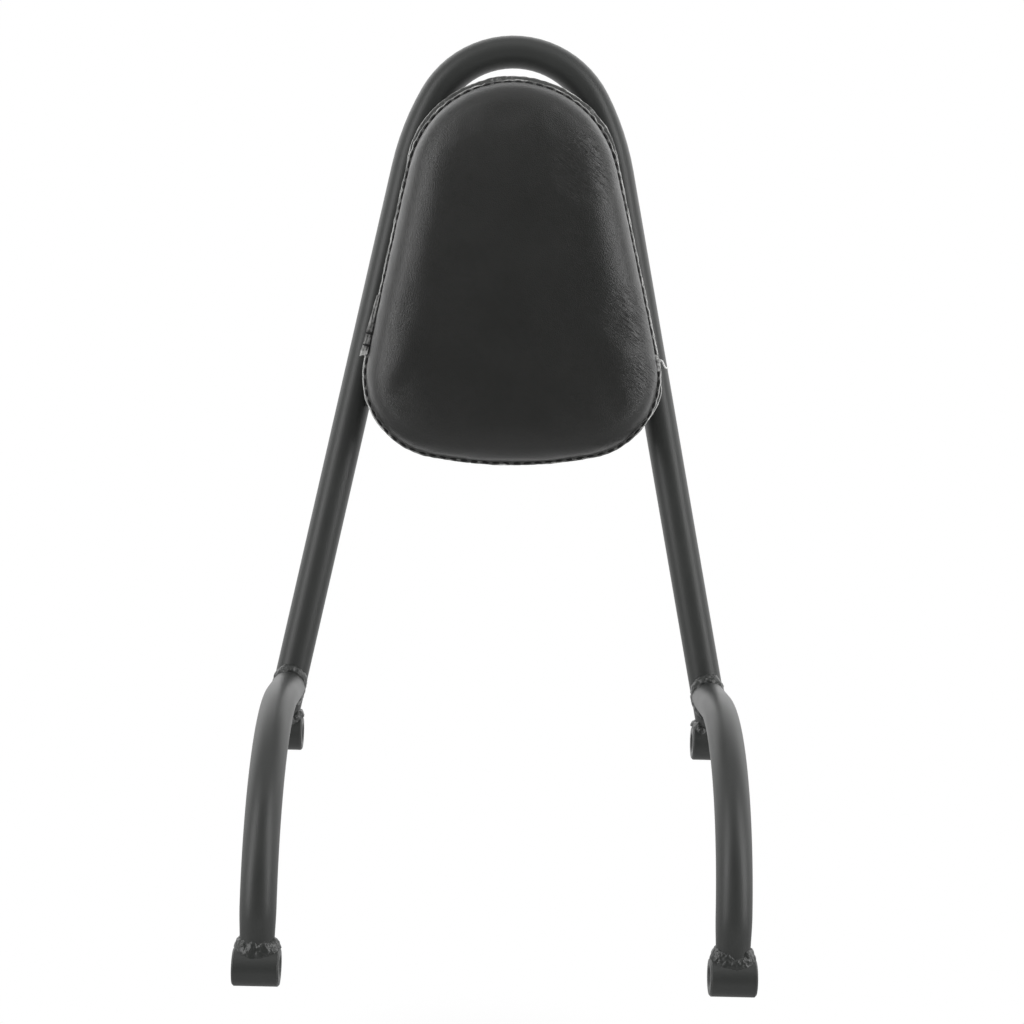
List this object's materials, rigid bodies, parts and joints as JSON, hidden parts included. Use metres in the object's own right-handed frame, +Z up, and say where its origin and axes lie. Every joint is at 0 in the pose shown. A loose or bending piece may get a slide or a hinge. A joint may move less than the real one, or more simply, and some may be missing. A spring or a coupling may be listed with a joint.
{
  "type": "motorcycle passenger backrest",
  "caption": "Bent tube hoop with a padded leatherette rest, welded cross bushings at its feet and curved front legs, bolted over the rear fender of a motorcycle.",
  "frame": {"origin": "on the rear bolt axis, midway between the two rear bushings", "axes": "+X to the right seen from the front, along the bolt axes; +Z up; the pad faces -Y, towards the front of the motorcycle, and the hoop leans back by 20 degrees"},
  "size_m": [0.32, 0.3795, 0.5173],
  "materials": {
    "frame_coat": "satin black powder coat",
    "pad_cover": "black leatherette with a fine grain",
    "foam": "open foam",
    "board": "raw plywood",
    "zinc": "zinc plated"
  },
  "bodies": {
    "root": {"hoop_tube": "frame_coat", "front_leg_left": "frame_coat", "front_leg_right": "frame_coat", "front_bushing_left": "frame_coat", "front_bushing_right": "frame_coat", "rear_bushing_left": "frame_coat", "rear_bushing_right": "frame_coat", "front_bushing_weld_left": "frame_coat", "front_bushing_weld_right": "frame_coat", "rear_bushing_weld_left": "frame_coat", "rear_bushing_weld_right": "frame_coat", "leg_weld_left": "frame_coat", "leg_weld_right": "frame_coat", "upper_strap": "frame_coat", "lower_strap": "frame_coat", "upper_strap_welds": "frame_coat", "lower_strap_welds": "frame_coat", "pad_front_cover": "pad_cover", "pad_back_cover": "pad_cover", "pad_foam": "foam", "pad_base_board": "board", "pad_tee_nuts": "zinc", "pad_bolts": "zinc", "pad_washers": "zinc", "pad_spring_washers": "zinc"}
  },
  "joints": []
}
